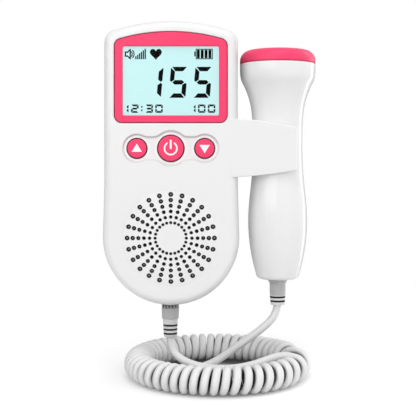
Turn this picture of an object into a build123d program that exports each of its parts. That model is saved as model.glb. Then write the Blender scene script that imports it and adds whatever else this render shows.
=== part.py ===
from build123d import *
import math
import os

# Hand-held fetal doppler monitor with its probe on a curly cord. Millimetres, +Z up, front facing -Y.
# Heights below are measured from a level just above the lowest point of the monitor's housing, and
# depths from its flat back at Y = 0. Only write() moves a piece, so that the frame's origin is the
# hanging point on the back.

# ---- driving dimensions -------------------------------------------------------------------------
HANG_HEIGHT = 92.0          # hanging point on the flat back

FOOT, TOP = -1.2, 135.7     # housing, on its centre line
DEPTH = 30.0
BOTTOM_R = 32.9             # round bottom
WAIST, WAIST_HEIGHT = 32.15, 57.0   # the sides stand upright from here to the shoulders
WAIST_BLEND = 200.0
TOP_RADIUS = 88.0
CORNER = 6.3
WALL = 2.0
FRONT_ROUND = 4.0
BACK_ROUND = 5.0
CREASE_HEIGHT = 56.6        # below it the front leans back
CREASE_TILT = 1.5
PARTING_GROOVE = 0.35

BEZEL_HALF_WIDTH = 26.9
BEZEL_BOTTOM = 86.8
BEZEL_TOP = 130.15
BEZEL_CORNER = 3.5
BEZEL_THICK = 1.5
BEZEL_GAP = 0.35
WINDOW_WIDTH, WINDOW_HEIGHT = 46.1, 33.1
WINDOW_CENTRE = 106.75

BUTTON_HEIGHT = 74.4
SIDE_BUTTON_X = 16.2
SIDE_BUTTON_R = 4.55
POWER_BUTTON_R = 6.1
BUTTON_GAP = 0.42
BUTTON_PROUD, BUTTON_ROUND = 0.5, 0.7
RECESS_DEPTH, RECESS_SLOPE = 0.8, 26.0   # the slope in degrees
RECESS_SIDE_R = 6.9
RECESS_CENTRE_R = 8.6
RECESS_WAIST = 5.7
RECESS_BLEND = 5.0
SYMBOL_DEPTH = 0.35

GRILLE_HEIGHT = 31.5
GRILLE_R = 23.2
GRILLE_FLAT_R = 7.0
GRILLE_DOME = 0.9
GRILLE_THICK = 1.2
SPOKES = 24
FIRST_RING, RING_STEP, RINGS = 7.45, 2.69, 6
HOLE_R_INNER, HOLE_R_OUTER = 0.65, 1.1

NECK_X = 52.2               # axis of the probe, and of the clip round its neck
CLIP_ROOT, CLIP_TIP = 28.0, 60.9
CLIP_TIP_BEND = 0.8         # by which each arm's tip turns in
CLIP_CHANNEL_R = 12.85
CLIP_EDGE = 1.0

COVER_HALF_WIDTH = 18.0     # battery cover
COVER_TOP = 68.0
COVER_GAP = 0.15
COVER_TRAVEL = 6.0
CELL_R, CELL_LENGTH = 7.1, 48.6
CELL_X, CELL_DEPTH = 8.2, 10.0
TRAY_BOTTOM, TRAY_TOP, TRAY_HALF_WIDTH = 12.5, 66.5, 17.0
TRAY_FLOOR = 17.4

SOCKET_DEPTH, SOCKET_HEIGHT = -19.0, 110.0
SCREW_X, SCREW_HEIGHTS = 26.8, (56.0, 120.0)
BOSS_R, SCREW_R, SCREW_HEAD_R = 2.7, 1.2, 2.1

PROBE_BOTTOM, PROBE_SEAM, PROBE_TOP = 10.43, 116.15, 123.0
PROBE_WALL = 2.0
HEAD_R = 18.6

RELIEF_X = -0.8             # the monitor's strain relief
CORD_D = 3.85
FLOOR = -37.6               # the surface that the cord's ring lies on
RING_X, RING_R, COIL_R = 22.5, 39.3, 6.7
RING_OPEN = 8.0             # degrees left open between the two ends of the ring

FRONT, MID = -DEPTH, -DEPTH / 2
CROSS = 80.0                # reaches past the housing on every side


# ---- helpers ------------------------------------------------------------------------------------
def write(name, shape):
    """One STEP per piece, in the frame whose origin is the hanging point."""
    export_step(Pos(0, 0, -HANG_HEIGHT) * shape, f"parts/{name}.step")


def slab(sketch, back, front):
    """A sketch of the front view made solid between two depths."""
    return extrude(Plane.XZ.offset(-back) * sketch, amount=back - front)


def rod(x, z, radius, back, front):
    """A round bar that runs from the back to the front."""
    return slab(Pos(x, z) * Circle(radius), back, front)


def turned(points, x=0.0):
    """A profile of (radius, height) points turned about an upright axis at mid depth."""
    outline = make_face(Polyline(*points, close=True))
    return Pos(x, MID, 0) * revolve(Plane.XZ * outline, Axis.Z)


def joined(shapes):
    return Compound(children=list(shapes))


def half(shape, front):
    """The part of a shape before or behind the parting plane at mid depth."""
    sign = -1 if front else 1
    keep = Pos(0, MID + sign * CROSS, TOP / 2) * Box(4 * CROSS, 2 * CROSS, 4 * CROSS)
    return shape & keep


def leaned(shape):
    """Moves a piece drawn against the upright front onto the part that leans back."""
    return Pos(0, FRONT, CREASE_HEIGHT) * Rot(X=CREASE_TILT) * Pos(0, -FRONT, -CREASE_HEIGHT) * shape


# ---- housing ------------------------------------------------------------------------------------
def housing_outline(inset):
    """Round bottom, upright sides above the crease, and an arched top with rounded corners."""
    centre = FOOT + BOTTOM_R
    rise = WAIST_HEIGHT - centre
    turn = math.atan2(rise, WAIST) - math.acos(BOTTOM_R / math.hypot(WAIST, rise))
    side = (BOTTOM_R * math.cos(turn), centre + BOTTOM_R * math.sin(turn))
    shoulder = (WAIST, TOP - WAIST**2 / (2 * TOP_RADIUS))
    left = [(-x, z) for x, z in (shoulder, (WAIST, WAIST_HEIGHT), side)]
    bottom = ThreePointArc(left[2], (0, FOOT), side)
    top = ThreePointArc(shoulder, (0, TOP), left[0])
    sides = [*Polyline(side, (WAIST, WAIST_HEIGHT), shoulder).edges(), *Polyline(*left).edges()]
    face = make_face([*bottom.edges(), *top.edges(), *sides])
    face = fillet(face.vertices().group_by(Axis.Y)[-1], CORNER)
    waist = face.vertices().filter_by(lambda corner: abs(corner.Y - WAIST_HEIGHT) < 0.1)
    face = fillet(waist, WAIST_BLEND)
    return offset(face, -inset) if inset else face


def housing_block(inset):
    """The closed housing, or its cavity when inset by the wall."""
    block = slab(housing_outline(inset), -inset, FRONT + inset)
    wedge = Box(4 * CROSS, CROSS, 4 * CROSS, align=(Align.CENTER, Align.MAX, Align.MAX))
    block -= Pos(0, FRONT + inset, CREASE_HEIGHT) * Rot(X=CREASE_TILT) * wedge
    faces = block.faces().filter_by(lambda face: face.normal_at().Y < -0.9)
    rim = faces.edges().filter_by(lambda edge: abs(edge.center().Z - CREASE_HEIGHT) > 0.1)
    block = fillet(rim, FRONT_ROUND - inset)
    back = block.faces().sort_by(Axis.Y)[-1]
    return fillet(back.edges(), BACK_ROUND - inset)


def clip_block():
    """The C-shaped clip that grips the probe's neck, before its channel is cut."""
    top = ThreePointArc((CLIP_ROOT, 88.8), (47.1, 87.2), (CLIP_TIP, 84.5))
    tip = Line((CLIP_TIP, 84.5), (CLIP_TIP, 64.0))
    bottom = ThreePointArc((CLIP_TIP, 64.0), (48.9, 62.2), (CLIP_ROOT, 60.5))
    root = Line((CLIP_ROOT, 60.5), (CLIP_ROOT, 88.8))
    side = make_face([*top.edges(), *tip.edges(), *bottom.edges(), *root.edges()])
    side = fillet(side.vertices().group_by(Axis.X)[-1], 2.0)
    block = slab(side, 0, FRONT)
    for outer in (block.faces().sort_by(Axis.Y)[0], block.faces().sort_by(Axis.Y)[-1]):
        rim = [edge for edge in outer.edges() if edge.center().X > CLIP_ROOT + 0.1]
        block = fillet(rim, CLIP_EDGE)
    return block & extrude(clip_plan(), amount=2 * CROSS)


def clip_plan():
    """Seen from above, each arm turns in a little past the neck and has a rounded tip."""
    tip = MID - CLIP_TIP_BEND - FRONT
    edges = [*Line((CLIP_ROOT, -MID), (CLIP_ROOT, MID)).edges()]
    for side in (-1, 1):
        straight = Line((CLIP_ROOT, side * MID), (NECK_X, side * MID))
        bend = TangentArc(straight @ 1, (CLIP_TIP, -side * tip), tangent=(1, 0))
        edges += [*straight.edges(), *bend.edges()]
    edges += Line((CLIP_TIP, -tip), (CLIP_TIP, tip)).edges()
    plan = make_face(edges)
    return Pos(0, MID) * fillet(plan.vertices().group_by(Axis.X)[-1], CLIP_EDGE)


def clip_channel():
    """The probe's neck lies in a half-round end and leaves between two parallel walls."""
    plan = Circle(CLIP_CHANNEL_R)
    plan += Pos(CROSS / 2, 0) * Rectangle(CROSS, 2 * CLIP_CHANNEL_R)
    return Pos(NECK_X, MID, 0) * extrude(plan, amount=2 * CROSS)


def parting_groove():
    """The fine V-like line where the two shells meet."""
    ring = housing_outline(-1) - housing_outline(PARTING_GROOVE)
    return slab(ring, MID + PARTING_GROOVE / 2, MID - PARTING_GROOVE / 2)


def bezel_outline(grow):
    half_width, bottom, top = BEZEL_HALF_WIDTH + grow, BEZEL_BOTTOM - grow, BEZEL_TOP + grow
    shoulder = top - half_width**2 / (2 * TOP_RADIUS)
    arch = ThreePointArc((half_width, shoulder), (0, top), (-half_width, shoulder))
    sides = Polyline((-half_width, shoulder), (-half_width, bottom), (half_width, bottom),
                     (half_width, shoulder))
    face = make_face([*arch.edges(), *sides.edges()])
    return fillet(face.vertices(), BEZEL_CORNER + grow)


def window(grow, round_by=0.8):
    return Pos(0, WINDOW_CENTRE) * RectangleRounded(
        WINDOW_WIDTH + 2 * grow, WINDOW_HEIGHT + 2 * grow, round_by)


def button_recess():
    """Three shallow round dishes run together into one cloud-shaped hollow."""
    plan = Circle(RECESS_CENTRE_R)
    plan += Rectangle(2 * SIDE_BUTTON_X, 2 * RECESS_WAIST)
    for x in (-SIDE_BUTTON_X, SIDE_BUTTON_X):
        plan += Pos(x, 0) * Circle(RECESS_SIDE_R)
    waists = plan.vertices().filter_by(lambda corner: abs(abs(corner.Y) - RECESS_WAIST) < 0.01)
    plan = fillet(waists, RECESS_BLEND)
    mouth = Plane.XZ.offset(-FRONT) * (Pos(0, BUTTON_HEIGHT) * plan)
    return extrude(mouth, amount=-RECESS_DEPTH, taper=RECESS_SLOPE) + extrude(mouth, amount=1)


def buttons():
    """Name, place and radius of each button."""
    return [("up", -SIDE_BUTTON_X, SIDE_BUTTON_R), ("power", 0.0, POWER_BUTTON_R),
            ("down", SIDE_BUTTON_X, SIDE_BUTTON_R)]


def screw_places():
    return [(x, z) for x in (-SCREW_X, SCREW_X) for z in SCREW_HEIGHTS]


def front_housing(shell, cavity):
    body = half(shell, front=True)
    bosses = [rod(x, z, BOSS_R, MID, FRONT + 1) for x, z in screw_places()]
    bosses += [rod(x, z, 1.6, -19.0, FRONT + 1) for x, z in ((-21.0, 61.0), (21.0, 61.0))]
    bosses += [side_rod(3.9, WAIST - WALL - 0.65, WAIST - 1)]
    body += half(cavity, front=True) & bosses
    body -= socket_hole()
    body -= slab(bezel_outline(BEZEL_GAP), FRONT + BEZEL_THICK, FRONT - 1)
    body -= slab(window(0.9), MID, FRONT - 1)
    body -= button_recess()
    for _, x, radius in buttons():
        body -= rod(x, BUTTON_HEIGHT, radius + BUTTON_GAP, FRONT + 2 * WALL, FRONT - 1)
    seat = rod(0, GRILLE_HEIGHT, GRILLE_R + 0.03, FRONT + GRILLE_THICK, FRONT - 2)
    opening = rod(0, GRILLE_HEIGHT, GRILLE_R - 1.0, FRONT + 3 * WALL, FRONT - 2)
    body -= leaned(seat + opening)
    for x, z in screw_places():
        body -= rod(x, z, SCREW_R + 0.05, MID + 1, FRONT + 4)
    return body


def rear_housing(shell, cavity):
    body = half(shell, front=False)
    inside = half(cavity, front=False)
    tray = Pos(0, (TRAY_BOTTOM + TRAY_TOP) / 2) * Rectangle(
        2 * (TRAY_HALF_WIDTH + 1.2), TRAY_TOP - TRAY_BOTTOM + 2.4)
    body += slab(tray, -WALL, -TRAY_FLOOR - 1.0)
    apron = Pos(0, TRAY_BOTTOM / 2) * Rectangle(2 * (COVER_HALF_WIDTH + 2), TRAY_BOTTOM + 2)
    body += inside & slab(apron, -WALL - 0.2, -WALL - 1.6)
    body += inside & [rod(x, z, BOSS_R, -1, MID) for x, z in screw_places()]
    cells = Pos(0, (TRAY_BOTTOM + TRAY_TOP) / 2) * Rectangle(
        2 * TRAY_HALF_WIDTH, TRAY_TOP - TRAY_BOTTOM)
    body -= slab(cells, 1, -TRAY_FLOOR)
    way = Pos(0, (COVER_TOP + COVER_GAP) / 2 - CROSS / 2) * Rectangle(
        2 * (COVER_HALF_WIDTH + COVER_GAP), COVER_TOP + COVER_GAP + CROSS)
    body -= slab(way, 1, -WALL - 0.2)
    body -= cover_tongues(0.2, COVER_TRAVEL)
    for x, z in screw_places():
        body -= rod(x, z, SCREW_R + 0.05, 1, MID - 1)
        body -= rod(x, z, SCREW_HEAD_R + 0.3, 1, -3.0)
    return body


# ---- battery compartment ------------------------------------------------------------------------
def cover_tongues(grow, travel):
    """The cover's two long tongues, or the grooves that they slide down in."""
    low, high = 16.0 - travel - grow, 60.0 + grow
    plan = Rectangle(2 * (COVER_HALF_WIDTH + 1.0 + grow), high - low)
    return slab(Pos(0, (low + high) / 2) * plan, -0.9 + grow, -1.8 - grow)


def battery_cover():
    plate = slab(Pos(0, COVER_TOP / 2 - 5) * Rectangle(2 * COVER_HALF_WIDTH, COVER_TOP + 10), 1,
                 -WALL)
    cover = (housing_block(0) & plate) + cover_tongues(0, 0)
    for row in range(5):
        grip = Pos(0, 50 + 2.6 * row) * SlotOverall(20 - 2.5 * row, 1.3)
        cover -= slab(grip, 1, -0.6)
    return cover


def aa_cells():
    """Two cells side by side, the second one upside down."""
    can = Cylinder(CELL_R, CELL_LENGTH, align=(Align.CENTER, Align.CENTER, Align.MIN))
    can = chamfer(can.edges(), 0.6)
    nub = Pos(0, 0, CELL_LENGTH) * Cylinder(2.7, 1.3, align=(Align.CENTER, Align.CENTER, Align.MIN))
    cell = can + nub
    first = Pos(-CELL_X, -CELL_DEPTH, TRAY_BOTTOM + 2.0) * cell
    second = Pos(CELL_X, -CELL_DEPTH, TRAY_TOP - 2.0) * Rot(X=180) * cell
    return joined([first, second])


def battery_contacts():
    """Bent leaf springs: one strip across both cells at the top, one tag a cell at the bottom."""
    def leaf(width, x, wall, inwards):
        path = Polyline((0, 0.02), (0, 0.45), (-2.2, 0.45), (-4.5, 1.5), (-6.8, 0.45), (-9.0, 0.45),
                        (-9.0, 0.02), close=True)
        strip = extrude(Plane.YZ * make_face(path), amount=width / 2, both=True)
        if not inwards:
            strip = mirror(strip, Plane.XY)
        return Pos(x, -CELL_DEPTH + 4.5, wall) * strip

    tags = [leaf(9.0, x, TRAY_BOTTOM, True) for x in (-CELL_X, CELL_X)]
    return joined([*tags, leaf(25.0, 0, TRAY_TOP, False)])


# ---- display, board and buttons -----------------------------------------------------------------
def display_bezel():
    plate = slab(bezel_outline(0) - window(0), FRONT + BEZEL_THICK - 0.02, FRONT - 0.15)
    outer = plate.faces().sort_by(Axis.Y)[0]
    return chamfer(outer.edges(), 0.3)


def button_cap(x, radius):
    """A cap with a dished edge and a retaining flange behind the front wall."""
    rear = FRONT + WALL + 0.08
    cap = rod(x, BUTTON_HEIGHT, radius, rear + 0.5, FRONT - BUTTON_PROUD)
    cap = fillet(cap.faces().sort_by(Axis.Y)[0].edges(), BUTTON_ROUND)
    return cap + rod(x, BUTTON_HEIGHT, radius + 1.1, rear + 0.8, rear)


def triangle(x, up):
    face = make_face(Polyline((-2.48, -1.63), (2.48, -1.63), (0, 2.28), close=True))
    return Pos(x, BUTTON_HEIGHT) * Rot(Z=0 if up else 180) * face


def power_sign():
    """A ring open at the top with an upright bar in the opening."""
    ring = Circle(3.35) - Circle(2.6)
    ring -= Pos(0, 3) * Rectangle(3.1, 3.4)
    ring += Pos(0, 1.92) * RectangleRounded(0.9, 4.45, 0.4)
    return Pos(0, BUTTON_HEIGHT) * ring


def symbol(outline):
    """A white sign moulded flush into the face of its cap."""
    return slab(outline, FRONT - BUTTON_PROUD + SYMBOL_DEPTH, FRONT - BUTTON_PROUD)


def main_board():
    """The board stops short of the corner bosses and of the loudspeaker."""
    plate = Pos(0, 91.5) * Rectangle(57.0, 68.0)
    plate &= housing_outline(WALL + 0.4)
    for x, z in screw_places():
        plate -= Pos(x, z) * Circle(BOSS_R + 0.4)
    board = slab(plate, -22.2, -23.4)
    chips = [(-12.0, 76.0, 9.0, 9.0), (10.0, 82.0, 6.0, 5.0), (6.0, 100.0, 12.0, 12.0)]
    for x, z, width, height in chips:
        board += slab(Pos(x, z) * Rectangle(width, height), -20.9, -22.3)
    return board


def tact_switches():
    switches = []
    for _, x, _ in buttons():
        body = slab(Pos(x, BUTTON_HEIGHT) * Rectangle(6, 6), -23.4, -25.6)
        switches.append(body + rod(x, BUTTON_HEIGHT, 1.7, -25.5, FRONT + WALL + 1.6))
    return joined(switches)


def side_rod(radius, inner, outer):
    """A round bar on the headphone socket's axis, between two distances left of the centre."""
    length = outer - inner
    return Pos(-(inner + outer) / 2, SOCKET_DEPTH, SOCKET_HEIGHT) * Rot(Y=-90) * Cylinder(
        radius, length)


def headphone_socket():
    """Square body on the board, with a round nose through the left wall."""
    body = Pos(-23.4, SOCKET_DEPTH, SOCKET_HEIGHT) * Box(11.6, 5.6, 7.0)
    return body + side_rod(2.7, 26.6, 31.6) - side_rod(1.8, 19.6, 31.6)


def socket_hole():
    """The way for the socket's nose, with a shallow round seat at its mouth for the plug's grip."""
    return side_rod(2.8, 22.0, 36.0) + side_rod(3.6, WAIST - 0.35, 36.0)


# ---- loudspeaker --------------------------------------------------------------------------------
def grille_holes():
    """Rays of holes that grow from the inner ring to the outer one."""
    holes = Sketch()
    for ring in range(RINGS):
        reach = FIRST_RING + ring * RING_STEP
        radius = HOLE_R_INNER + (HOLE_R_OUTER - HOLE_R_INNER) * ring / (RINGS - 1)
        holes += PolarLocations(reach, SPOKES) * RegularPolygon(radius, 8)
    return holes


def speaker_grille():
    """A shallow dished disc, flat in the middle, drilled in graded rays."""
    rim, back = FRONT - 0.02, FRONT + GRILLE_THICK - 0.02
    crown = FRONT - GRILLE_DOME
    profile = make_face([
        *Polyline((0, back), (GRILLE_R, back), (GRILLE_R, rim)).edges(),
        *ThreePointArc((GRILLE_R, rim), (0.65 * GRILLE_R, crown + 0.25),
                       (GRILLE_FLAT_R, crown)).edges(),
        *Polyline((GRILLE_FLAT_R, crown), (0, crown), (0, back)).edges()])
    disc = Pos(0, 0, GRILLE_HEIGHT) * revolve(profile, Axis.Y)
    disc -= slab(Pos(0, GRILLE_HEIGHT) * grille_holes(), FRONT + 2, FRONT - 3)
    return leaned(disc)


def speaker_turned(points):
    """A loudspeaker part turned about the axis through the grille, from (radius, depth) points."""
    return leaned(Pos(0, 0, GRILLE_HEIGHT) * revolve(make_face(Polyline(*points, close=True)), Axis.Y))


def speaker_frame():
    """Pressed basket: a flange behind the wall, a sloping side and a floor with a hole."""
    return speaker_turned([(20.0, -27.6), (20.0, -26.9), (17.4, -26.9), (10.0, -22.9), (7.0, -22.9),
                           (7.0, -23.6), (9.8, -23.6), (17.1, -27.6)])


def speaker_cone():
    """Paper cone with a rolled edge and a domed cap."""
    return speaker_turned([(16.4, -27.8), (15.4, -28.1), (14.0, -27.5), (6.2, -24.6), (5.0, -25.3),
                           (2.6, -26.0), (0, -26.2), (0, -25.8), (2.4, -25.6), (4.7, -24.9),
                           (5.9, -24.1), (14.1, -27.1), (15.4, -27.7), (16.3, -27.5)])


def speaker_magnet():
    return speaker_turned([(0, -24.0), (6.4, -24.0), (6.4, -22.8), (9.5, -22.8), (9.5, -19.3), (0, -19.3)])


# ---- probe --------------------------------------------------------------------------------------
def probe_face(inset):
    """Half section of the probe: foot, belly, waisted neck, flared head."""
    foot = PROBE_BOTTOM + inset
    curve = Spline((10.6 - inset, 12.4 + inset / 2), (12.4 - inset, 19.6), (14.0 - inset, 29.5),
                   (14.5 - inset, 39.5), (13.95 - inset, 49.3), (12.75 - inset, 61.0),
                   (12.2 - inset, 74.0), (12.55 - inset, 89.8), (13.75 - inset, 97.7),
                   (16.7 - inset, 105.7), (HEAD_R - inset, 114.0),
                   tangents=((0.27, 1), (0, 1)))
    toe = ThreePointArc((8.2 - inset, foot), (9.85 - inset, foot + 0.57 - inset / 8), curve @ 0)
    edges = [*Line((0, foot), toe @ 0).edges(), *toe.edges(), *curve.edges()]
    edges += Polyline(curve @ 1, (HEAD_R - inset, PROBE_SEAM), (0, PROBE_SEAM), (0, foot)).edges()
    return make_face(edges)


def probe_solid(inset):
    return Pos(NECK_X, MID, 0) * revolve(Plane.XZ * probe_face(inset), Axis.Z)


def probe_shells():
    """Two half shells that meet on the plane at mid depth."""
    shell = probe_solid(0) - probe_solid(PROBE_WALL)
    shell -= Pos(NECK_X, MID, 0) * Cylinder(4.95, 60)
    outer, inner = HEAD_R + 1, HEAD_R - 0.3
    line = turned([(outer, PROBE_SEAM - 0.25), (inner, PROBE_SEAM - 0.25), (inner, PROBE_SEAM + 1),
                   (outer, PROBE_SEAM + 1)], NECK_X)
    shell -= line
    return half(shell, front=True), half(shell, front=False)


def probe_cap():
    """The pink tip: a flat sound window with a full round edge, plugged into the head."""
    top, corner, thick = PROBE_TOP, 5.0, 1.6
    crown = PROBE_TOP - 0.25
    outside = FilletPolyline((HEAD_R, PROBE_SEAM), (HEAD_R, crown), (0, top), radius=corner)
    inside = FilletPolyline((0, top - thick), (HEAD_R - 2.2, crown - thick),
                            (HEAD_R - 2.2, PROBE_SEAM - 4.0), radius=corner - thick)
    seat = Polyline(inside @ 1, (HEAD_R - PROBE_WALL - 0.05, PROBE_SEAM - 4.0),
                    (HEAD_R - PROBE_WALL - 0.05, PROBE_SEAM), outside @ 0)
    top_line = Line(outside @ 1, inside @ 0)
    face = make_face([*outside.edges(), *inside.edges(), *seat.edges(), *top_line.edges()])
    return Pos(NECK_X, MID, 0) * revolve(Plane.XZ * face, Axis.Z)


def probe_crystals():
    """A sending and a receiving half disc, side by side."""
    disc = Circle(12.0) - Rectangle(1.6, 30)
    solid = extrude(disc, amount=1.8)
    return Pos(NECK_X, MID, PROBE_TOP - 3.7) * solid


def crystal_backing():
    return turned([(0, 113.2), (13.6, 113.2), (13.6, 118.9), (0, 118.9)], NECK_X)


def probe_board():
    board = Pos(NECK_X, MID, 84.0) * Box(16.0, 1.2, 46.0)
    for height, size in ((70.0, 6.0), (82.0, 8.0), (96.0, 5.0)):
        board += Pos(NECK_X, MID - 1.0, height) * Box(size, 1.4, size)
    return board


# ---- cord ---------------------------------------------------------------------------------------
def slotted(relief, x, heights, width, tall):
    """Slots from the front and the back leave the relief bending on a web at each side."""
    for height in heights:
        for side in (-1, 1):
            relief -= Pos(x, MID + side * (width / 2 + 0.9), height) * Box(2.6 * width, width, tall)
    return relief


def unit_strain_relief():
    collar, end = 4.2, -18.4
    relief = turned([(0, 3.1), (5.6, 3.1), (5.6, 1.7), (collar, 1.7), (collar, -2.0),
                     (collar + 0.15, -4.2), (collar, -9.0), (3.8, -9.4), (3.6, -12.0), (3.3, -17.6),
                     (2.9, end), (0, end)], RELIEF_X)
    for height in (-2.3, -3.6):
        relief -= turned([(collar + 1, height - 0.3), (collar - 0.8, height - 0.3),
                          (collar - 0.8, height + 0.3), (collar + 1, height + 0.3)], RELIEF_X)
    return slotted(relief, RELIEF_X, (-12.4, -14.45, -16.5), 6.2, 0.9)


def probe_strain_relief():
    collar, end = 4.85, -2.4
    relief = turned([(0, 14.3), (6.4, 14.3), (6.4, 12.6), (collar, 12.6), (collar, 9.6), (3.95, 8.0),
                     (3.85, 2.2), (3.5, end), (0, end)], NECK_X)
    return slotted(relief, NECK_X, (1.5, -0.5), 7.0, 0.9)


UNIT_TAIL = [(-0.8, -15, -18.4), (-0.8, -15, -25.0), (4.2, -17.4, -29.6), (14.0, -22.5, -30.6),
             (26.5, -25.5, -30.6), (39.0, -21.5, -30.5), (50.0, -14.5, -29.2), (57.5, -12.5, -27.8)]
PROBE_TAIL = [(52.2, -15, -2.4), (52.2, -15, -7.8), (48.7, -14.9, -12.4), (39.5, -13.2, -18.6),
              (29.5, -10.5, -25.0), (20.0, -8.0, -31.6), (11.5, -7.5, -35.2), (4.0, -12.5, -35.6),
              (1.5, -21.5, -35.5), (5.5, -30.0, -35.6), (14.5, -35.2, -35.5), (25.5, -36.3, -35.6),
              (36.0, -33.2, -35.5), (45.5, -26.5, -35.6), (52.5, -18.5, -35.3), (56.6, -12.0, -34.2)]


def cord_tail(name, route):
    """A round cord along straight runs joined by arcs as large as the runs allow."""
    points = [Vector(*point) for point in route]
    radii = []
    for before, here, after in zip(points, points[1:], points[2:]):
        run, following = here - before, after - here
        turn = math.radians(run.get_angle(following))
        radii.append(0.45 * min(run.length, following.length) / math.tan(turn / 2))
    path = FilletPolyline(*points, radius=radii)
    start = Plane(origin=path @ 0, z_dir=path % 0)
    tube = sweep(start * Circle(CORD_D / 2), path=path)
    want = math.pi * CORD_D**2 / 4 * path.length
    print(name, "radii", [round(r, 1) for r in radii], "length", round(path.length, 1),
          "volume", round(tube.volume / want, 4))
    return tube


def cord_coil():
    """The curly stretch as one fat ring of its outer diameter, open where the two ends meet."""
    section = Pos(RING_R, COIL_R) * Circle(COIL_R)
    ring = revolve(Plane.XZ * section, Axis.Z, revolution_arc=360 - RING_OPEN)
    return Pos(RING_X, MID, FLOOR) * Rot(Z=RING_OPEN / 2) * ring


# ---- everything ---------------------------------------------------------------------------------
def main():
    os.makedirs("parts", exist_ok=True)
    cavity = housing_block(WALL)
    shell = housing_block(0) + clip_block() - cavity - clip_channel() - parting_groove()
    shell -= Pos(RELIEF_X, MID, 0) * Cylinder(4.45, 10) + socket_hole()
    write("front_housing", front_housing(shell, cavity))
    write("rear_housing", rear_housing(shell, cavity))
    write("housing_screws", joined(
        rod(x, z, SCREW_R, -2.9, -26.0) + rod(x, z, SCREW_HEAD_R, -1.2, -3.0)
        for x, z in screw_places()))

    write("battery_cover", battery_cover())
    write("aa_cells", aa_cells())
    write("battery_contacts", battery_contacts())

    write("display_bezel", display_bezel())
    write("display_lens", slab(window(-0.05), FRONT + 1.2, FRONT + 0.2))
    write("lcd_panel", slab(window(0.8), FRONT + 3.4, FRONT + 1.6))
    write("backlight", slab(window(0.8), FRONT + 6.5, FRONT + 3.5))
    write("main_board", main_board())
    write("tact_switches", tact_switches())
    write("headphone_socket", headphone_socket())

    signs = {"up": triangle(-SIDE_BUTTON_X, True), "power": power_sign(),
             "down": triangle(SIDE_BUTTON_X, False)}
    for name, x, radius in buttons():
        cap = button_cap(x, radius)
        sign = symbol(signs[name])
        write(f"button_{name}", cap - sign)
        write(f"sign_{name}", sign)

    write("speaker_grille", speaker_grille())
    write("speaker_frame", speaker_frame())
    write("speaker_cone", speaker_cone())
    write("speaker_magnet", speaker_magnet())
    write("dust_cloth", leaned(rod(0, GRILLE_HEIGHT, GRILLE_R - 1.1, FRONT + 1.5, FRONT + 1.21)))

    shell_front, shell_rear = probe_shells()
    write("probe_front_shell", shell_front)
    write("probe_rear_shell", shell_rear)
    write("probe_cap", probe_cap())
    write("probe_crystals", probe_crystals())
    write("crystal_backing", crystal_backing())
    write("probe_board", probe_board())

    write("unit_strain_relief", unit_strain_relief())
    write("probe_strain_relief", probe_strain_relief())
    write("cord_unit_tail", cord_tail("cord_unit_tail", UNIT_TAIL))
    write("cord_probe_tail", cord_tail("cord_probe_tail", PROBE_TAIL))
    write("cord_coil", cord_coil())


if __name__ == "__main__":
    main()
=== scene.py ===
import math

import bmesh
import bpy
from mathutils import Matrix, Vector


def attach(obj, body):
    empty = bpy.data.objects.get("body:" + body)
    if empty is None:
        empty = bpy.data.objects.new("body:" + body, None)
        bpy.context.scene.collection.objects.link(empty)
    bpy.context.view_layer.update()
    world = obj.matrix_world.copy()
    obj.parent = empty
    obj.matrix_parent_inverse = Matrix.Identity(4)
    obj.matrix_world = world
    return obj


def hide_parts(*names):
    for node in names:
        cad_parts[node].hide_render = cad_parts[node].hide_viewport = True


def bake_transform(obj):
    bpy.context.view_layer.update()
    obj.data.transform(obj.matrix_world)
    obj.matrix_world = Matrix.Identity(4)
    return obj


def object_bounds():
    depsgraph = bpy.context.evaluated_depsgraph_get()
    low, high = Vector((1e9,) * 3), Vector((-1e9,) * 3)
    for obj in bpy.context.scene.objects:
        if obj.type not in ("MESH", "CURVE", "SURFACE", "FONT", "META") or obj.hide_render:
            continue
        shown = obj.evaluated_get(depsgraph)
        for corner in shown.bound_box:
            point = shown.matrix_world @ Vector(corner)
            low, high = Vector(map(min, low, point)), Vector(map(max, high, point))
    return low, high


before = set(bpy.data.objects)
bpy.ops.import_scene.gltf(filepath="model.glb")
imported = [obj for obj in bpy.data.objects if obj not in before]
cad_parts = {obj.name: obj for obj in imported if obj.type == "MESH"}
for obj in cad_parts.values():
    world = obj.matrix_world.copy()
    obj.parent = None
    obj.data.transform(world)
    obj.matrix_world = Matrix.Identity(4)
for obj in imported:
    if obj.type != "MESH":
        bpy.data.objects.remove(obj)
CAD_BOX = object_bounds()

bl_info = {
    "name": "Fetal Doppler Monitor",
    "version": (1, 0, 0),
    "blender": (4, 5, 0),
    "location": "3D View > Sidebar > Doppler",
    "description": "Dresses the monitor, its probe and its curly cord",
    "category": "Object",
}

# ---- places, in millimetres where nothing else is said ------------------------------------------
MM = 0.001
FOOT_LEVEL = -0.092                   # metres: heights count from here, by the housing's foot
FLOOR = CAD_BOX[0].z                  # metres
MID, FRONT = -15.0, -30.0             # depths of the parting plane and of the front
BUTTON_HEIGHT, CREASE_HEIGHT, GRILLE_HEIGHT = 74.4, 56.6, 31.5
HEAD_BELT, TIP_BELT = 115.7, 116.4    # heights of the painted highlight below and the painted shade above the tip's seam
KEYS = {"up": (-16.2, 4.55), "power": (0.0, 6.1), "down": (16.2, 4.55)}   # place across and radius
SMOOTH_UNDER = math.radians(32)


def level(height):
    """A height in millimetres as a Z in metres."""
    return height * MM + FOOT_LEVEL


def place(x, y, height):
    """A point given in millimetres across, in depth and in height."""
    return Vector((x * MM, y * MM, level(height)))


# ---- helpers for node trees ---------------------------------------------------------------------
def fill(tree, node, inputs):
    """Links sockets into a node's inputs, and sets plain values on them."""
    for key, value in inputs.items():
        if isinstance(value, bpy.types.NodeSocket):
            tree.links.new(value, node.inputs[key])
        else:
            node.inputs[key].default_value = value


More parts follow.
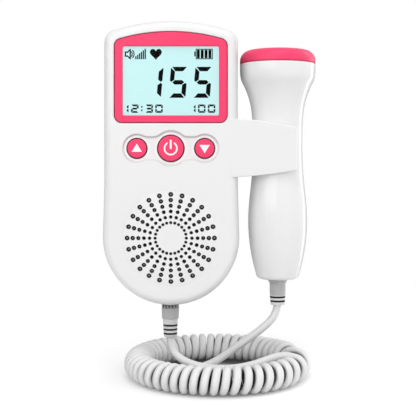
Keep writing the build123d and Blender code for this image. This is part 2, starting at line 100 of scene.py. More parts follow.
def add(tree, kind, inputs=None, **settings):
    """A node with its settings made and its inputs filled or linked."""
    node = tree.nodes.new(kind)
    for name, value in settings.items():
        setattr(node, name, value)
    fill(tree, node, inputs or {})
    return node


def maths(tree, operation, *values):
    """A maths node's result."""
    return add(tree, "ShaderNodeMath", dict(enumerate(values)), operation=operation).outputs[0]


def pick(tree, test, when_no, when_yes):
    """One value or the other, or for a test between 0 and 1 a share of both."""
    return add(tree, "ShaderNodeMix", {0: test, 2: when_no, 3: when_yes}).outputs[0]


def ease(tree, value, low=0.0, high=1.0, start=0.0, end=1.0):
    """A result that eases from start to end while the value goes from low to high."""
    limits = {"Value": value, "From Min": low, "From Max": high, "To Min": start, "To Max": end}
    return add(tree, "ShaderNodeMapRange", limits, interpolation_type="SMOOTHSTEP").outputs[0]


def grey(tree, shade):
    """The neutral colour of a shade."""
    return add(tree, "ShaderNodeCombineColor", {"Red": shade, "Green": shade,
                                                "Blue": shade}).outputs[0]


def blended(tree, share, first, second, way="MIX"):
    """Two colours mixed or multiplied."""
    return add(tree, "ShaderNodeMix", {0: share, 6: first, 7: second}, data_type="RGBA",
               blend_type=way).outputs[2]


def axes(tree, vector):
    """The three parts of a vector."""
    return add(tree, "ShaderNodeSeparateXYZ", {0: vector}).outputs


def object_spot(tree):
    """Where a point of the surface lies."""
    return add(tree, "ShaderNodeTexCoord").outputs["Object"]


def distance(tree, spot, centre):
    """How far a point is from a fixed one."""
    return add(tree, "ShaderNodeVectorMath", {0: spot, 1: tuple(centre)},
               operation="DISTANCE").outputs["Value"]


def group(name, kind, inputs, outputs):
    """A new node group, its input node and its output node."""
    tree = bpy.data.node_groups.new(name, kind)
    for label, socket, default in inputs:
        made = tree.interface.new_socket(label, in_out="INPUT", socket_type=socket)
        if default is not None:
            made.default_value = default
    for label, socket in outputs:
        tree.interface.new_socket(label, in_out="OUTPUT", socket_type=socket)
    return tree, tree.nodes.new("NodeGroupInput"), tree.nodes.new("NodeGroupOutput")


def shader_group(name, inputs, outputs):
    """A new shader group: its tree, the sockets of its inputs and its output node."""
    sockets = [(label, "NodeSocketColor" if default is None else "NodeSocketFloat", default)
               for label, default in inputs.items()]
    tree, source, result = group(name, "ShaderNodeTree", sockets, outputs.items())
    return tree, source.outputs, result


# ---- shader groups ------------------------------------------------------------------------------
def moulded_skin():
    """Faint waviness, grain and gloss changes of moulded plastic."""
    tree, put, result = shader_group(
        "moulded_skin", {"Gloss": 0.3, "Gloss Swing": 0.10, "Grain": 2500.0, "Wave": 60.0,
                         "Wave Height": 6.0},
        {"Height": "NodeSocketFloat", "Roughness": "NodeSocketFloat"})
    spot = object_spot(tree)
    grain = add(tree, "ShaderNodeTexNoise", {"Vector": spot, "Scale": put["Grain"], "Detail": 2.0})
    wave = add(tree, "ShaderNodeTexNoise", {"Vector": spot, "Scale": put["Wave"], "Detail": 1.0})
    height = maths(tree, "MULTIPLY_ADD", wave.outputs["Fac"], put["Wave Height"],
                   grain.outputs["Fac"])
    swing = maths(tree, "SUBTRACT", wave.outputs["Fac"], 0.5)
    fill(tree, result, {"Height": height, "Roughness": maths(tree, "MULTIPLY_ADD", swing,
                                                             put["Gloss Swing"], put["Gloss"])})
    return tree


def tone_drift():
    """A colour that drifts a little lighter and darker over a piece."""
    tree, put, result = shader_group("tone_drift", {"Colour": None, "Drift": 0.04, "Scale": 40.0},
                                     {"Colour": "NodeSocketColor"})
    noise = add(tree, "ShaderNodeTexNoise", {"Vector": object_spot(tree), "Scale": put["Scale"],
                                             "Detail": 3.0}).outputs["Fac"]
    shade = maths(tree, "SUBTRACT", 1.0, maths(tree, "MULTIPLY", noise, put["Drift"]))
    fill(tree, result, {"Colour": blended(tree, 1.0, put["Colour"], grey(tree, shade), "MULTIPLY")})
    return tree


def turn_shade():
    """Painted shade: dark where the cord's stored openness is low, in the crevices between the
    turns.
    """
    tree, put, result = shader_group("turn_shade", {"Darkest": 0.11}, {"Colour": "NodeSocketColor"})
    openness = add(tree, "ShaderNodeAttribute", attribute_name="openness").outputs["Fac"]
    fill(tree, result, {"Colour": grey(tree, ease(tree, openness, start=put["Darkest"]))})
    return tree


def relief_bands():
    """Grey above a step, paler below it, and painted shade: black in a row of slots and in two rows
    of notches.
    """
    tree, put, result = shader_group(
        "relief_bands",
        {"Upper": None, "Lower": None, "Step": 0.0, "First Slot": 0.0, "Pitch": 2.0 * MM,
         "Slots": 3.0, "Half Slot": 0.46 * MM, "First Notch": 1.0, "Notches": 16.0,
         "Notch Above": -0.35, "Half Notch": 0.4 * MM, "Notch Drop": 1.15 * MM, "Middle": -0.8 * MM},
        {"Colour": "NodeSocketColor"})
    across, depth, height = axes(tree, object_spot(tree))
    below = maths(tree, "SUBTRACT", put["First Slot"], height)
    last = maths(tree, "SUBTRACT", put["Slots"], 1.0)
    nearest = maths(tree, "ROUND", maths(tree, "DIVIDE", below, put["Pitch"]))
    nearest = maths(tree, "MAXIMUM", 0.0, maths(tree, "MINIMUM", nearest, last))
    away = maths(tree, "ABSOLUTE", maths(tree, "SUBTRACT", below,
                                         maths(tree, "MULTIPLY", nearest, put["Pitch"])))
    dark = maths(tree, "LESS_THAN", away, put["Half Slot"])
    turn = maths(tree, "ARCTAN2", maths(tree, "SUBTRACT", across, put["Middle"]),
                 maths(tree, "SUBTRACT", depth, MID * MM))
    wave = maths(tree, "SINE", maths(tree, "MULTIPLY", turn, put["Notches"]))
    teeth = maths(tree, "GREATER_THAN", wave, put["Notch Above"])
    second = maths(tree, "SUBTRACT", put["First Notch"], put["Notch Drop"])
    for row in (put["First Notch"], second):
        off = maths(tree, "ABSOLUTE", maths(tree, "SUBTRACT", height, row))
        notches = maths(tree, "MULTIPLY", teeth, maths(tree, "LESS_THAN", off, put["Half Notch"]))
        dark = maths(tree, "MAXIMUM", dark, notches)
    lower = maths(tree, "LESS_THAN", height, put["Step"])
    tone = blended(tree, lower, put["Upper"], put["Lower"])
    # Painted shade: near-black in the slots and notches.
    fill(tree, result, {"Colour": blended(tree, dark, tone, (0.01, 0.01, 0.01, 1))})
    return tree


def panel_shade_and_highlights():
    """Rounds the edges' shading; painted shade on the recess's walls, painted highlights on key rims
    and the clip's edge.
    """
    tree, put, result = shader_group(
        "panel_shade_and_highlights",
        {"Upper Wall": 0.78, "Lower Wall": 0.88, "Rim": 1.16, "Edge": 1.16, "Edge Radius": 1.0 * MM,
         "Panel Half Width": 26 * MM, "Panel Half Height": 10 * MM, "Clip Start": 32.3 * MM,
         "Clip Bottom": level(58), "Grille Radius": 25.5 * MM, "Rim Reach": 0.95 * MM,
         "Rim Half Width": 0.5 * MM, "Wall Lean": 0.25, "Top Lean": 0.08, "Side Lean": 0.3},
        {"Level": "NodeSocketFloat", "Normal": "NodeSocketVector"})
    spot = object_spot(tree)
    across, _, height = axes(tree, spot)
    off_grille = maths(tree, "GREATER_THAN", distance(tree, spot, place(0, FRONT, GRILLE_HEIGHT)),
                       put["Grille Radius"])
    radius = maths(tree, "MULTIPLY", put["Edge Radius"], off_grille)
    rounded = add(tree, "ShaderNodeBevel", {"Radius": radius}, samples=6).outputs[0]
    sideways, _, upwards = axes(tree, rounded)
    rise = maths(tree, "SUBTRACT", height, level(BUTTON_HEIGHT))
    panel = maths(tree, "MULTIPLY", maths(tree, "LESS_THAN", maths(tree, "ABSOLUTE", across),
                                          put["Panel Half Width"]),
                  maths(tree, "LESS_THAN", maths(tree, "ABSOLUTE", rise), put["Panel Half Height"]))
    clip = maths(tree, "MULTIPLY", maths(tree, "GREATER_THAN", across, put["Clip Start"]),
                 maths(tree, "GREATER_THAN", height, put["Clip Bottom"]))
    downwards = maths(tree, "MULTIPLY", upwards, -1.0)
    falls = maths(tree, "MULTIPLY", panel, maths(tree, "GREATER_THAN", downwards,
                                                 put["Wall Lean"]))
    climbs = maths(tree, "MULTIPLY", panel, maths(tree, "GREATER_THAN", upwards, put["Wall Lean"]))
    outer = maths(tree, "MAXIMUM", maths(tree, "GREATER_THAN", upwards, put["Top Lean"]),
                  maths(tree, "GREATER_THAN", sideways, put["Side Lean"]))
    # Painted shade on the recess's upper and lower walls, painted highlights along the clip's edge
    # and in rings round the keys.
    shade = pick(tree, falls, 1.0, put["Upper Wall"])
    shade = pick(tree, climbs, shade, put["Lower Wall"])
    shade = pick(tree, maths(tree, "MULTIPLY", clip, outer), shade, put["Edge"])
    for x, key_radius in KEYS.values():
        aside = maths(tree, "SUBTRACT", across, x * MM)
        far = maths(tree, "SQRT", maths(tree, "ADD", maths(tree, "MULTIPLY", aside, aside),
                                        maths(tree, "MULTIPLY", rise, rise)))
        rim = maths(tree, "ADD", put["Rim Reach"], key_radius * MM)
        off = maths(tree, "ABSOLUTE", maths(tree, "SUBTRACT", far, rim))
        shade = pick(tree, maths(tree, "LESS_THAN", off, put["Rim Half Width"]), shade, put["Rim"])
    fill(tree, result, {"Level": shade, "Normal": rounded})
    return tree


def seam_level():
    """A level that differs from one in a narrow belt round a given height: the painted highlight and
    the painted shade along the probe's seam.
    """
    tree, put, result = shader_group("seam_level", {"Height": 0.0, "Half Width": 0.4 * MM,
                                                    "In Belt": 0.7}, {"Level": "NodeSocketFloat"})
    height = axes(tree, object_spot(tree))[2]
    off = maths(tree, "ABSOLUTE", maths(tree, "SUBTRACT", height, put["Height"]))
    share = ease(tree, off, high=put["Half Width"])
    fill(tree, result, {"Level": pick(tree, share, put["In Belt"], 1.0)})
    return tree


def side_shade():
    """Painted shade: a level that falls where the surface turns to the left, or with Way at 1 to the
    right.
    """
    tree, put, result = shader_group("side_shade", {"Way": -1.0, "From": 0.35, "Darkest": 0.8},
                                     {"Level": "NodeSocketFloat"})
    across = axes(tree, add(tree, "ShaderNodeTexCoord").outputs["Normal"])[0]
    share = ease(tree, maths(tree, "MULTIPLY", across, put["Way"]), low=put["From"])
    fill(tree, result, {"Level": pick(tree, share, 1.0, put["Darkest"])})
    return tree


def weave_mask():
    """Threads over and under, as on a fine dust cloth."""
    tree, put, result = shader_group("weave_mask", {"Threads": 2600.0},
                                     {"Height": "NodeSocketFloat"})
    spot = object_spot(tree)
    waves = [add(tree, "ShaderNodeTexWave", {"Vector": spot, "Scale": put["Threads"]},
                 bands_direction=axis).outputs["Fac"] for axis in ("X", "Z")]
    fill(tree, result, {"Height": maths(tree, "MULTIPLY", *waves)})
    return tree


# ---- materials ----------------------------------------------------------------------------------
SKIN_DEPTH, WEAVE_DEPTH = 0.2 * MM, 0.1 * MM
NO_NOTCHES = 1000.0                   # a height that no relief reaches


def spaced(values):
    """Names of sockets as Blender writes them."""
    return {name.replace("_", " "): value for name, value in values.items()}


def plain_material(name):
    """A new material, its tree and its shader."""
    made = bpy.data.materials.new(name)
    made.use_nodes = True
    return made, made.node_tree, made.node_tree.nodes["Principled BSDF"]


def placed(tree, group_name, **inputs):
    """A shader group put into a material."""
    return add(tree, "ShaderNodeGroup", spaced(inputs), node_tree=GROUPS[group_name])


def material(name, colour, gloss, drift=0.03, grain=2500.0, wave=60.0, bump=0.02, **sockets):
    """A moulded finish: drifting tone, gloss that varies and a faint skin."""
    made, tree, shader = plain_material(name)
    tone = placed(tree, "tone_drift", Colour=(*colour, 1), Drift=drift)
    skin = placed(tree, "moulded_skin", Gloss=gloss, Grain=grain, Wave=wave)
    lift = add(tree, "ShaderNodeBump", {"Height": skin.outputs["Height"], "Strength": bump,
                                        "Distance": SKIN_DEPTH})
    fill(tree, shader, {"Base Color": tone.outputs["Colour"], "Normal": lift.outputs["Normal"],
                        "Roughness": skin.outputs["Roughness"], **spaced(sockets)})
    return made


def shaded(made, group_name, **inputs):
    """The finish with its colour multiplied by a shader group's output, and bumps on its normal."""
    tree = made.node_tree
    shader = tree.nodes["Principled BSDF"]
    shade = placed(tree, group_name, **inputs)
    colour = shader.inputs["Base Color"].links[0].from_socket
    fill(tree, shader, {"Base Color": blended(tree, 1.0, colour, shade.outputs[0], "MULTIPLY")})
    if "Normal" in shade.outputs:
        bump = shader.inputs["Normal"].links[0].from_node
        fill(tree, bump, {"Normal": shade.outputs["Normal"]})
    return made


def relief_material(name, finish, step, first, pitch, slots, notch=NO_NOTCHES):
    """Rubber that is paler below its step, with painted shade in its slots and notches, placed in
    mm.
    """
    made = material(name, tuple(finish.relief), 0.42, drift=0.08, bump=0.05)
    tree = made.node_tree
    shader = tree.nodes["Principled BSDF"]
    bands = placed(tree, "relief_bands", Upper=shader.inputs["Base Color"].links[0].from_socket,
                   Lower=(*finish.ribs, 1), Step=level(step), First_Slot=level(first),
                   Pitch=pitch * MM, Slots=slots, First_Notch=level(notch))
    fill(tree, shader, {"Base Color": bands.outputs["Colour"]})
    return made


def lcd_panel_material(colour):
    """The lit panel: its own light makes up for the shade of the bezel."""
    unlit = tuple(0.35 * part for part in colour)
    return material("lit_crystal_panel", unlit, 0.35, drift=0.02, Emission_Color=(*colour, 1),
                    Emission_Strength=0.74)


def lens_material():
    """Clear acrylic that only adds a faint gloss."""
    made, tree, shader = plain_material("clear_acrylic")
    skin = placed(tree, "moulded_skin", Gloss=0.08)
    fill(tree, shader, {"Roughness": skin.outputs["Roughness"], "Alpha": 0.04,
                        "Base Color": (0.02, 0.022, 0.022, 1)})
    return made


def cloth_material():
    """Woven dust cloth."""
    made = material("dark_dust_cloth", (0.022, 0.022, 0.022), 0.9)
    tree = made.node_tree
    weave = placed(tree, "weave_mask")
    lift = add(tree, "ShaderNodeBump", {"Height": weave.outputs["Height"], "Strength": 0.6,
                                        "Distance": WEAVE_DEPTH})
    fill(tree, tree.nodes["Principled BSDF"], {"Normal": lift.outputs["Normal"]})
    return made


def make_materials(finish):
    """Every finish of the object, by name."""
    white, pink = tuple(finish.white), tuple(finish.pink)
    housing = material("housing_white_plastic", white, 0.22, IOR=1.5)
    probe = material("polished_white_plastic", white, 0.16, bump=0.01, IOR=1.5)
    # Painted highlight: a bright belt on the probe's head just below the tip's seam.
    probe = shaded(probe, "seam_level", Height=level(HEAD_BELT), Half_Width=0.55 * MM,
                   In_Belt=1.12)
    cap = material("glossy_pink_cap", pink, 0.42, drift=0.05, IOR=1.42)
    # Painted shade: a dark belt on the cap's rim at the seam.
    cap = shaded(cap, "seam_level", Height=level(TIP_BELT), Half_Width=0.6 * MM, In_Belt=0.5)
    cord = material("satin_cord_jacket", tuple(finish.cord), 0.38, drift=0.06, grain=1800.0,
                    wave=120.0, bump=0.05)
    return {
        "white_plastic": material("glossy_white_plastic", white, 0.22, IOR=1.5),
        # Painted shade on the recess's walls and the housing's right side, painted highlights round
        # the keys and on the clip.
        "housing_white": shaded(shaded(housing, "panel_shade_and_highlights"), "side_shade", Way=1.0, From=0.1,
                                Darkest=0.86),
        # Painted shade on the probe's left side.
        "probe_white": shaded(probe, "side_shade", From=0.72, Darkest=0.83),
        # Painted shade on the cap's left side.
        "cap_pink": shaded(cap, "side_shade", From=0.5, Darkest=0.72),
        "pink_plastic": material("glossy_pink_plastic", pink, 0.42, drift=0.05, IOR=1.42),
        "sign_white": material("white_inlay", (0.93, 0.93, 0.93), 0.4),
        # Painted shade between the cord's turns and on their left sides.
        "cord_grey": shaded(shaded(cord, "turn_shade"), "side_shade", From=0.2, Darkest=0.80),
        "unit_rubber": relief_material("unit_relief_rubber", finish, step=-9.2, first=-12.4,
                                       pitch=2.05, slots=3, notch=-1.75),
        "probe_rubber": relief_material("probe_relief_rubber", finish, step=2.3, first=1.5,
                                        pitch=2.0, slots=2),
        # Painted light: pale pips behind the grille's bores stand for the lit middle of the cloth.
        "pip_grey": material("grey_light_spot", (0.23, 0.23, 0.23), 0.7),
        "board_green": material("solder_mask", (0.03, 0.20, 0.09), 0.3),
        "switch_black": material("black_moulding", (0.03, 0.03, 0.03), 0.35),
        "steel": material("zinc_plated_steel", (0.62, 0.62, 0.63), 0.3, Metallic=1.0),
        "magnet": material("dark_plated_steel", (0.16, 0.16, 0.17), 0.32, Metallic=1.0),
        "paper_black": material("pressed_paper", (0.04, 0.04, 0.04), 0.85, bump=0.4),
        "cell": material("wrapped_cell", (0.20, 0.23, 0.27), 0.3),
        "backlight": material("milky_light_guide", (0.85, 0.92, 0.92), 0.5),
        "crystal": material("silvered_ceramic", (0.74, 0.66, 0.46), 0.35, Metallic=0.6),
        "backing": material("damping_block", (0.10, 0.10, 0.10), 0.7),
        "lcd": lcd_panel_material(tuple(finish.screen)),
        "ink": material("liquid_crystal_ink", (0.004, 0.004, 0.005), 0.9, Specular_IOR_Level=0.0),
        # Painted shade: near-black sheets that fill the gaps round the bezel and the keys.
        "seal": material("black_gap_shade", (0.02, 0.02, 0.02), 0.8, Specular_IOR_Level=0.2),
        "lens": lens_material(),
        "cloth": cloth_material(),
    }


# ---- helpers for pieces -------------------------------------------------------------------------
PART_WELD, PIECE_WELD = 1e-6, 2e-7    # metres within which points are one


def soft_shading():
    """Welds a carried-over part's loose triangles and rounds the shading between gentle facets."""
    tree, source, result = group("soft_shading", "GeometryNodeTree",
                                 [("Geometry", "NodeSocketGeometry", None),
                                  ("Angle", "NodeSocketFloat", SMOOTH_UNDER)],
                                 [("Geometry", "NodeSocketGeometry")])
    weld = add(tree, "GeometryNodeMergeByDistance", {"Geometry": source.outputs["Geometry"],
                                                     "Distance": PART_WELD})
    smooth = add(tree, "GeometryNodeSetShadeSmooth", {"Geometry": weld.outputs["Geometry"]},
                 domain="FACE")
    angle = add(tree, "GeometryNodeInputMeshEdgeAngle")
    steep = add(tree, "FunctionNodeCompare", {0: angle.outputs["Unsigned Angle"],
                                              1: source.outputs["Angle"]},
                data_type="FLOAT", operation="GREATER_THAN")
    sharp = add(tree, "GeometryNodeSetShadeSmooth",
                {"Geometry": smooth.outputs["Geometry"], "Selection": steep.outputs[0],
                 "Shade Smooth": False}, domain="EDGE")
    fill(tree, result, {"Geometry": sharp.outputs["Geometry"]})
    return tree


def dress(names, finish):
    """Gives carried-over parts their finish and smooth shading."""
    for name in names:
        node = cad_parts[name]
        node.data.materials.clear()
        node.data.materials.append(MATERIALS[finish])
        modifier = node.modifiers.new("soft_shading", "NODES")
        modifier.node_group = GROUPS["soft_shading"]
        weighted = node.modifiers.new("weighted_normals", "WEIGHTED_NORMAL")
        weighted.keep_sharp = True
        weighted.weight = 100


def shown(name, data):
    """A mesh, lamp or camera put into the scene."""
    made = bpy.data.objects.new(name, data)
    bpy.context.scene.collection.objects.link(made)
    return made


def outward(made):
    """Welds a mesh, turns all its faces outwards and smooths the shading of its gentle edges."""
    mesh = made.data
    work = bmesh.new()
    work.from_mesh(mesh)
    bmesh.ops.remove_doubles(work, verts=work.verts, dist=PIECE_WELD)
    bmesh.ops.recalc_face_normals(work, faces=work.faces)
    work.to_mesh(mesh)
    work.free()
    mesh.polygons.foreach_set("use_smooth", [True] * len(mesh.polygons))
    mesh.set_sharp_from_angle(angle=SMOOTH_UNDER)
    return made


def piece(name, verts, faces, finish):
    """A mesh object at the origin, with one finish."""
    mesh = bpy.data.meshes.new(name)
    mesh.from_pydata([tuple(v) for v in verts], [], faces)
    mesh.materials.append(MATERIALS[finish])
    mesh.validate()
    return outward(shown(name, mesh))


def settle(made, body, replaces=()):
    """A finished piece rides on its body and hides the parts that it stands for."""
    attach(made, body)
    if replaces:
        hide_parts(*replaces)


def solid_between(loops):
    """Closed skin over loops of equally many points, from a first cap to a last one."""
    count = len(loops[0])
    verts = [point for loop in loops for point in loop]
    faces = [list(range(count)), list(range(len(verts) - count, len(verts)))]
    for row in range(len(loops) - 1):
        for k in range(count):
            a, b = row * count + k, row * count + (k + 1) % count
            faces.append([a, b, b + count, a + count])
    return verts, faces


def circle(radius, count, x=0.0, height=0.0):
    """Points of the front view round a centre."""
    turns = [math.tau * k / count for k in range(count)]
    return [(x + radius * math.cos(turn), height + radius * math.sin(turn)) for turn in turns]


def plates(outlines, back, front):
    """Flat outlines of the front view, (x, height) in mm, made into thin closed plates."""
    verts, faces = [], []
    for outline in outlines:
        loops = [[place(x, depth, z) for x, z in outline] for depth in (back, front)]
        more_verts, more_faces = solid_between(loops)
        faces += [[index + len(verts) for index in face] for face in more_faces]
        verts += more_verts
    return verts, faces


def frame_plate(outer, inner, back, front):
    """A closed flat frame between two outlines of equally many points."""
    count = len(outer)
    verts = [place(x, depth, z) for depth in (back, front) for outline in (outer, inner)
             for x, z in outline]
    faces = []
    for k in range(count):
        n = (k + 1) % count
        for a, b in ((0, 1), (1, 3), (3, 2), (2, 0)):
            faces.append([a * count + k, a * count + n, b * count + n, b * count + k])
    return verts, faces


def run_nodes(made, tree, finish):
    """Lets a geometry node group rebuild an object's mesh, then keeps the result as plain mesh."""
    modifier = made.modifiers.new("nodes", "NODES")
    modifier.node_group = tree
    for item in tree.interface.items_tree:
        if item.in_out == "INPUT" and item.name == "Finish":
            modifier[item.identifier] = MATERIALS[finish]
    graph = bpy.context.evaluated_depsgraph_get()
    mesh = bpy.data.meshes.new_from_object(made.evaluated_get(graph))
    made.modifiers.remove(modifier)
    mesh.name = made.name
    made.data = mesh
    return outward(made)


# ---- loudspeaker grille -------------------------------------------------------------------------
LEAN_DEG = 1.5                        # the front below the crease leans back by this much
CREASE = Matrix.Translation(place(0, FRONT, CREASE_HEIGHT))
GRILLE_SPOT = (CREASE @ Matrix.Rotation(math.radians(LEAN_DEG), 4, "X") @ CREASE.inverted()
               @ Matrix.Translation(place(0, FRONT - 0.02, GRILLE_HEIGHT)))
CELL_STEPS = 6
EDGE_FRONT, BORE_FRONT, BORE_BACK, EDGE_BACK = range(4)     # heights that stand for a cell's edges
BETWEEN = (BORE_FRONT + BORE_BACK) / 2
# The pale pips of painted light behind the bores: sides, then radius, back and front in mm.
PIP_SIDES, PIP_RADIUS, PIP_BACK, PIP_FRONT = 12, 0.42, 1.15, 0.75


def cell_walk():
    """Points round a square cell, from one corner on, in cell widths."""
    side = [(-0.5 + k / CELL_STEPS, -0.5) for k in range(CELL_STEPS)]
    walk = []
    for _ in range(4):
        walk += side
        side = [(-y, x) for x, y in side]
    return walk


def perforated_cell():
    """One cell of the grille: the height of a point tells which of its four edges it is on."""
    walk = cell_walk()
    ways = [Vector(point).normalized() for point in walk]
    loops = [[(x, y, edge) for x, y in line]
             for line, edge in ((walk, EDGE_FRONT), (ways, BORE_FRONT), (ways, BORE_BACK),
                                (walk, EDGE_BACK))]
    verts, faces = solid_between(loops)
    return verts, faces[2:]


def geometry_group(name, inputs):
    """A new geometry group with the mesh that it repeats, its sizes and its finish as inputs."""
    sockets = [(label, "NodeSocketInt" if isinstance(default, int) else "NodeSocketFloat", default)
               for label, default in inputs.items()]
    tree, source, result = group(
        name, "GeometryNodeTree",
        [("Geometry", "NodeSocketGeometry", None), *sockets, ("Finish", "NodeSocketMaterial", None)],
        [("Geometry", "NodeSocketGeometry")])
    return tree, source.outputs, result


def close_tree(tree, geometry, put, result):
    """Makes instances real, gives them the finish and hands them out."""
    real = add(tree, "GeometryNodeRealizeInstances", {"Geometry": geometry})
    dressed = add(tree, "GeometryNodeSetMaterial", {"Geometry": real.outputs[0],
                                                    "Material": put["Finish"]})
    fill(tree, result, {"Geometry": dressed.outputs[0]})
    return tree


def ray_points(tree, put):
    """A point for every place in the rays, with the numbers of its ring and its ray."""
    count = maths(tree, "MULTIPLY", put["Spokes"], put["Rings"])
    points = add(tree, "GeometryNodePoints", {"Count": count}).outputs[0]
    index = add(tree, "GeometryNodeInputIndex").outputs[0]
    ring = maths(tree, "FLOOR", maths(tree, "DIVIDE", maths(tree, "ADD", index, 0.5),
                                      put["Spokes"]))
    return points, ring, maths(tree, "FLOORED_MODULO", index, put["Spokes"])


def polar(tree, far, turn, depth=0.0):
    """A point of the disc at a reach and a turn."""
    return add(tree, "ShaderNodeCombineXYZ", {
        "X": maths(tree, "MULTIPLY", far, maths(tree, "COSINE", turn)), "Y": depth,
        "Z": maths(tree, "MULTIPLY", far, maths(tree, "SINE", turn))}).outputs[0]


def moved_to(tree, geometry, spot):
    """The geometry with its points set to a place."""
    return add(tree, "GeometryNodeSetPosition", {"Geometry": geometry,
                                                 "Position": spot}).outputs[0]


def own_place(tree):
    """The three parts of a point's place."""
    return axes(tree, add(tree, "GeometryNodeInputPosition").outputs[0])


def perforated_disc():
    """Rays of cells laid round a disc, each with a bore that grows from ring to ring."""
    tree, put, result = geometry_group("perforated_disc", {
        "Spokes": 24, "Rings": 6, "First Ring": 7.45 * MM, "Step": 2.69 * MM,
        "Inner Bore": 0.76 * MM, "Outer Bore": 1.2 * MM, "Radius": 23.2 * MM, "Dome": 0.9 * MM,
        "Flat Share": 0.30, "Roundness": 1.7, "Thickness": 1.2 * MM})
    kept, *numbers = ray_points(tree, put)
    for name, value in zip(("ring", "spoke"), numbers):
        kept = add(tree, "GeometryNodeStoreNamedAttribute", {"Geometry": kept, "Name": name,
                                                             "Value": value}).outputs[0]
    cells = add(tree, "GeometryNodeInstanceOnPoints", {"Points": kept, "Instance": put["Geometry"]})
    real = add(tree, "GeometryNodeRealizeInstances", {"Geometry": cells.outputs[0]})
    ring, spoke = [add(tree, "GeometryNodeInputNamedAttribute", {"Name": name}).outputs[0]
                   for name in ("ring", "spoke")]
    sideways, outwards, edge = own_place(tree)
    bored = maths(tree, "LESS_THAN", maths(tree, "ABSOLUTE", maths(tree, "SUBTRACT", edge, BETWEEN)),
                  1.0)
    deep = maths(tree, "GREATER_THAN", edge, BETWEEN)
    pace = maths(tree, "DIVIDE", math.tau, put["Spokes"])
    centre = maths(tree, "MULTIPLY", spoke, pace)
    reach = maths(tree, "MULTIPLY_ADD", ring, put["Step"], put["First Ring"])
    share = maths(tree, "DIVIDE", ring, maths(tree, "SUBTRACT", put["Rings"], 1.0))
    bore = pick(tree, share, put["Inner Bore"], put["Outer Bore"])
    edge_turn = maths(tree, "MULTIPLY_ADD", sideways, pace, centre)
    edge_reach = maths(tree, "MULTIPLY_ADD", outwards, put["Step"], reach)
    bore_reach = maths(tree, "MULTIPLY_ADD", outwards, bore, reach)
    bore_side = maths(tree, "MULTIPLY", sideways, bore)
    bore_turn = maths(tree, "ADD", centre, maths(tree, "ARCTAN2", bore_side, bore_reach))
    bore_far = maths(tree, "SQRT", maths(tree, "ADD",
                                         maths(tree, "MULTIPLY", bore_reach, bore_reach),
                                         maths(tree, "MULTIPLY", bore_side, bore_side)))
    spot = dished_point(tree, pick(tree, bored, edge_turn, bore_turn),
                        pick(tree, bored, edge_reach, bore_far), deep, put)
    body = add(tree, "GeometryNodeJoinGeometry")
    for part in (*rim_and_middle(tree, put), moved_to(tree, real.outputs[0], spot)):
        fill(tree, body, {0: part})
    return close_tree(tree, body.outputs[0], put, result)


def dished_point(tree, turn, far, deep, put):
    """Place of a point at a turn and reach: the front swells gently from the rim to the middle."""
    outer = maths(tree, "DIVIDE", far, put["Radius"])
    slope = add(tree, "ShaderNodeMapRange", {"Value": outer, "From Min": put["Flat Share"]})
    fall = maths(tree, "POWER", slope.outputs[0], put["Roundness"])
    front = maths(tree, "MULTIPLY", put["Dome"], maths(tree, "SUBTRACT", fall, 1.0))
    return polar(tree, far, turn, pick(tree, deep, front, put["Thickness"]))


def rim_and_middle(tree, put):
    """The plain disc inside the first ring, the border outside the last one, and the outer edge."""
    columns = maths(tree, "MULTIPLY_ADD", put["Spokes"], float(CELL_STEPS), 1.0)
    half = maths(tree, "MULTIPLY", put["Step"], 0.5)
    first = maths(tree, "SUBTRACT", put["First Ring"], half)
    last = maths(tree, "ADD", first, maths(tree, "MULTIPLY", put["Rings"], put["Step"]))
    start = maths(tree, "DIVIDE", -math.pi, put["Spokes"])
    sheets = [(reach, (side, side), rows) for side in (0.0, 1.0)
              for reach, rows in (((0.0, first), 4), ((last, put["Radius"]), 2))]
    sheets.append(((put["Radius"], put["Radius"]), (0.0, 1.0), 2))
    parts = []
    for reach, sides, rows in sheets:
        sheet = add(tree, "GeometryNodeMeshGrid", {"Size X": 1.0, "Size Y": 1.0,
                                                   "Vertices X": columns, "Vertices Y": rows})
        along, outwards, _ = own_place(tree)
        turn = maths(tree, "MULTIPLY_ADD", maths(tree, "ADD", along, 0.5), math.tau, start)
        share = maths(tree, "ADD", outwards, 0.5)
        spot = dished_point(tree, turn, pick(tree, share, *reach), pick(tree, share, *sides), put)
        parts.append(moved_to(tree, sheet.outputs[0], spot))
    return parts


def grille_light_spots():
    """Painted light: a small flat pale pip behind each bore of the outer rings, growing outwards,
    for the lit middle of the cloth.
    """
    tree, put, result = geometry_group("grille_light_spots", {
        "Spokes": 24, "Rings": 3, "First Ring": 15.52 * MM, "Step": 2.69 * MM, "Smallest": 0.35})
    points, ring, spoke = ray_points(tree, put)
    turn = maths(tree, "DIVIDE", maths(tree, "MULTIPLY", spoke, math.tau), put["Spokes"])
    far = maths(tree, "MULTIPLY_ADD", ring, put["Step"], put["First Ring"])
    share = maths(tree, "DIVIDE", maths(tree, "ADD", ring, 1.0), put["Rings"])
    pips = add(tree, "GeometryNodeInstanceOnPoints", {
        "Points": moved_to(tree, points, polar(tree, far, turn)), "Instance": put["Geometry"],
        "Scale": pick(tree, share, put["Smallest"], 1.0)})
    return close_tree(tree, pips.outputs[0], put, result)


def round_pip():
    """A short round stud along the depth."""
    return solid_between([[(x * MM, depth * MM, z * MM) for x, z in circle(PIP_RADIUS, PIP_SIDES)]
                          for depth in (PIP_BACK, PIP_FRONT)])


def make_grille():
    """The loudspeaker's perforated disc, and pips of painted light on the cloth that shows in its
    bores.
    """
    pips = piece("grille_light_spots", *round_pip(), "pip_grey")
    run_nodes(pips, GROUPS["grille_light_spots"], "pip_grey")
    pips.data.transform(GRILLE_SPOT)
    settle(pips, "unit")
    disc = piece("grille_disc", *perforated_cell(), "white_plastic")
    run_nodes(disc, GROUPS["perforated_disc"], "white_plastic")
    disc.data.transform(GRILLE_SPOT)
    settle(disc, "unit", ["speaker_grille"])
